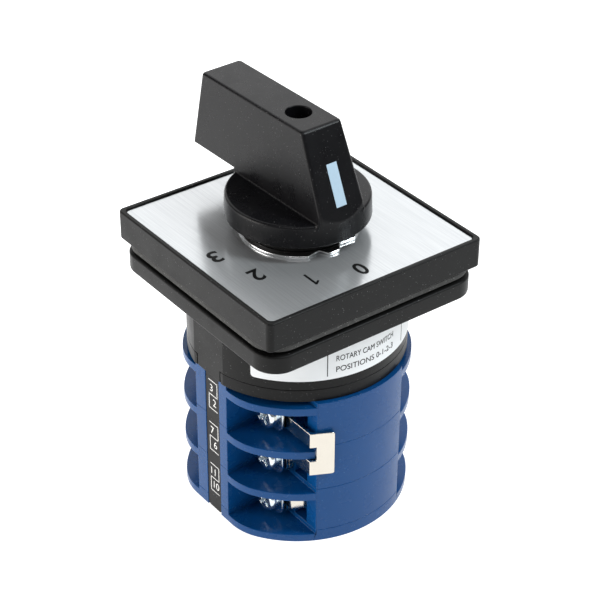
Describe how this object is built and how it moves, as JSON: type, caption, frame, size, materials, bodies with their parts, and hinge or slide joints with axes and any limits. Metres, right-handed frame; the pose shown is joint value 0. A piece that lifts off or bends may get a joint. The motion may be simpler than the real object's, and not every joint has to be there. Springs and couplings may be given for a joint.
{
  "type": "manual transfer switch",
  "caption": "Rotary cam changeover switch with a lever knob, square front plate and stacked screw-terminal contact stages behind a panel flange.",
  "frame": {"origin": "on the shaft axis at the rear face of the base cover", "axes": "+Z along the shaft towards the handle; +Y where the pointer stands at position 0; +X where it stands at position 3"},
  "size_m": [0.065, 0.0673, 0.1094],
  "materials": {
    "handle_plastic": "fine moulded grain, satin",
    "black_plastic": "satin moulded",
    "blue_plastic": "smooth moulded, slight gloss",
    "pale_blue_inlay": "painted bar",
    "white_moulding": "plain moulded",
    "black_rubber": "matt",
    "brushed_plate": "brushed lengthwise",
    "bright_ring": "bright plated",
    "silver_label": "satin foil",
    "zinc_steel": "blue passivated zinc",
    "plain_steel": "turned",
    "spring_steel": "drawn wire",
    "contact_brass": "plain",
    "tinned_link": "satin tinned"
  },
  "bodies": {
    "body": {"collar_screws": "zinc_steel", "flange_screws": "zinc_steel", "tie_bolts": "zinc_steel", "terminal_screws": "zinc_steel", "lock_washers": "zinc_steel", "clamp_washers": "zinc_steel", "stop_ring": "bright_ring", "seal_collar": "black_plastic", "bezel": "black_plastic", "mounting_flange": "black_plastic", "mechanism_housing": "black_plastic", "housing_base": "black_plastic", "number_strip_front": "black_plastic", "number_strip_rear": "black_plastic", "shaft_seal": "black_rubber", "gasket": "black_rubber", "dial_plate": "brushed_plate", "side_label": "silver_label", "base_cover": "blue_plastic", "stage_housing_1": "blue_plastic", "stage_housing_2": "blue_plastic", "stage_housing_3": "blue_plastic", "terminals_1": "contact_brass", "terminals_2": "contact_brass", "terminals_3": "contact_brass", "contact_spring_1a": "spring_steel", "contact_spring_1b": "spring_steel", "contact_spring_2a": "spring_steel", "contact_spring_2b": "spring_steel", "contact_spring_3a": "spring_steel", "contact_spring_3b": "spring_steel", "detent_spring_a": "spring_steel", "detent_spring_b": "spring_steel", "jumper_link": "tinned_link", "end_link": "tinned_link"},
    "rotor": {"handle": "handle_plastic", "pointer_inlay": "pale_blue_inlay", "handle_screw": "zinc_steel", "shaft": "plain_steel", "front_bush": "white_moulding", "end_bush": "white_moulding", "star_wheel": "white_moulding", "stop_disc": "white_moulding", "cam_1": "white_moulding", "cam_2": "white_moulding", "cam_3": "white_moulding"},
    "contact_set_1a": {"contact_carrier_1a": "white_moulding", "contact_bridge_1a": "contact_brass"},
    "contact_set_1b": {"contact_carrier_1b": "white_moulding", "contact_bridge_1b": "contact_brass"},
    "contact_set_2a": {"contact_carrier_2a": "white_moulding", "contact_bridge_2a": "contact_brass"},
    "contact_set_2b": {"contact_carrier_2b": "white_moulding", "contact_bridge_2b": "contact_brass"},
    "contact_set_3a": {"contact_carrier_3a": "white_moulding", "contact_bridge_3a": "contact_brass"},
    "contact_set_3b": {"contact_carrier_3b": "white_moulding", "contact_bridge_3b": "contact_brass"},
    "plunger_a": {"detent_plunger_a": "plain_steel"},
    "plunger_b": {"detent_plunger_b": "plain_steel"}
  },
  "joints": [
    {"name": "handle_turn", "type": "hinge", "parent": "body", "child": "rotor", "pos_m": [0, 0, 0.08], "axis": [0, 0, -1], "range_deg": [0, 90]},
    {"name": "contact_slide_1a", "type": "slide", "parent": "body", "child": "contact_set_1a", "axis": [0, 1, 0], "range_m": [0, 0.0024], "deforming": ["contact_spring_1a"]},
    {"name": "contact_slide_1b", "type": "slide", "parent": "body", "child": "contact_set_1b", "axis": [0, -1, 0], "range_m": [0, 0.0024], "deforming": ["contact_spring_1b"]},
    {"name": "contact_slide_2a", "type": "slide", "parent": "body", "child": "contact_set_2a", "axis": [0, 1, 0], "range_m": [0, 0.0024], "deforming": ["contact_spring_2a"]},
    {"name": "contact_slide_2b", "type": "slide", "parent": "body", "child": "contact_set_2b", "axis": [0, -1, 0], "range_m": [0, 0.0024], "deforming": ["contact_spring_2b"]},
    {"name": "contact_slide_3a", "type": "slide", "parent": "body", "child": "contact_set_3a", "axis": [0, 1, 0], "range_m": [-0.0024, 0], "deforming": ["contact_spring_3a"]},
    {"name": "contact_slide_3b", "type": "slide", "parent": "body", "child": "contact_set_3b", "axis": [0, -1, 0], "range_m": [-0.0024, 0], "deforming": ["contact_spring_3b"]},
    {"name": "detent_press_a", "type": "slide", "parent": "body", "child": "plunger_a", "axis": [0, 1, 0], "range_m": [0, 0.0015], "stiffness_N_per_m": 200, "springref_m": -0.002, "deforming": ["detent_spring_a"]},
    {"name": "detent_press_b", "type": "slide", "parent": "body", "child": "plunger_b", "axis": [0, -1, 0], "range_m": [0, 0.0015], "stiffness_N_per_m": 200, "springref_m": -0.002, "deforming": ["detent_spring_b"]}
  ],
  "couplings": [
    {"joint": "contact_slide_1a", "follows": "handle_turn", "m_per_rad": 0.001527},
    {"joint": "contact_slide_1b", "follows": "handle_turn", "m_per_rad": 0.001527},
    {"joint": "contact_slide_2a", "follows": "handle_turn", "m_per_rad": 0.001527},
    {"joint": "contact_slide_2b", "follows": "handle_turn", "m_per_rad": 0.001527},
    {"joint": "contact_slide_3a", "follows": "handle_turn", "m_per_rad": -0.001527},
    {"joint": "contact_slide_3b", "follows": "handle_turn", "m_per_rad": -0.001527}
  ]
}
